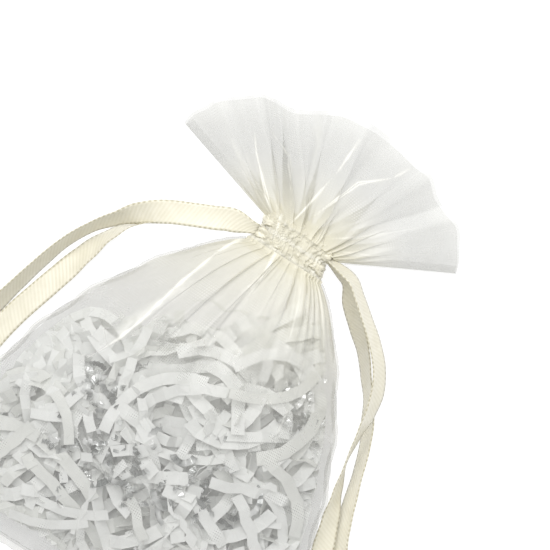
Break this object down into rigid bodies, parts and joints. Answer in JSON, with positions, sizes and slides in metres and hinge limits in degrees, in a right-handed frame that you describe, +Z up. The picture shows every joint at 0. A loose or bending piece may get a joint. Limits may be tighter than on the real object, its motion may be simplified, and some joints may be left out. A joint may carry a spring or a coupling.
{
  "type": "drawstring gift pouch",
  "caption": "Sheer organza drawstring gift pouch drawn shut, lying on its back, with satin ribbon pulls and a shredded paper filling",
  "frame": {"origin": "on the resting surface, under the middle of the bag without its ribbons", "axes": "+X across the bag, +Y from the bottom seam to the flared header, +Z up, out of the front panel"},
  "size_m": [0.1264, 0.1571, 0.0282],
  "materials": {
    "organza": "sheer nylon organza, white, crisp and slightly glossy",
    "thread": "white polyester sewing thread",
    "crinkle_paper": "white crinkle cut paper shred, matte",
    "silver_film": "narrow clear and silver film shred, glossy",
    "satin_ribbon": "cream single-face satin ribbon with a corded edge"
  },
  "bodies": {
    "pouch": {"back_panel": "organza", "front_panel": "organza", "left_side_seam": "organza", "right_side_seam": "organza", "bottom_seam": "organza", "front_casing": "organza", "back_casing": "organza", "front_casing_stitches": "thread", "back_casing_stitches": "thread", "front_paper_shred": "crinkle_paper", "back_paper_shred": "crinkle_paper", "film_shred": "silver_film"},
    "header": {"front_header": "organza", "back_header": "organza", "left_header_seam": "organza", "right_header_seam": "organza"},
    "left_drawstring": {"left_ribbon_loop": "satin_ribbon"},
    "left_ribbon": {"left_ribbon_front_strand": "satin_ribbon", "left_ribbon_back_strand": "satin_ribbon", "left_ribbon_knot": "satin_ribbon"},
    "right_drawstring": {"right_ribbon_loop": "satin_ribbon"},
    "right_ribbon": {"right_ribbon_front_strand": "satin_ribbon", "right_ribbon_back_strand": "satin_ribbon", "right_ribbon_knot": "satin_ribbon"}
  },
  "joints": [
    {"name": "header_fold", "type": "hinge", "parent": "pouch", "child": "header", "pos_m": [0, 0.039, 0.012], "axis": [1, 0, 0], "range_deg": [-5, 45], "stiffness_Nm_per_rad": 0.01},
    {"name": "left_drawstring_pull", "type": "slide", "parent": "pouch", "child": "left_drawstring", "axis": [-1, 0, 0], "range_m": [0, 0.004]},
    {"name": "left_ribbon_swing", "type": "hinge", "parent": "left_drawstring", "child": "left_ribbon", "pos_m": [-0.012, 0.0322, 0.011], "axis": [0, 0, -1], "range_deg": [0, 15]},
    {"name": "right_drawstring_pull", "type": "slide", "parent": "pouch", "child": "right_drawstring", "axis": [1, 0, 0], "range_m": [0, 0.004]},
    {"name": "right_ribbon_swing", "type": "hinge", "parent": "right_drawstring", "child": "right_ribbon", "pos_m": [0.012, 0.0358, 0.011], "axis": [0, 0, 1], "range_deg": [0, 15]}
  ]
}
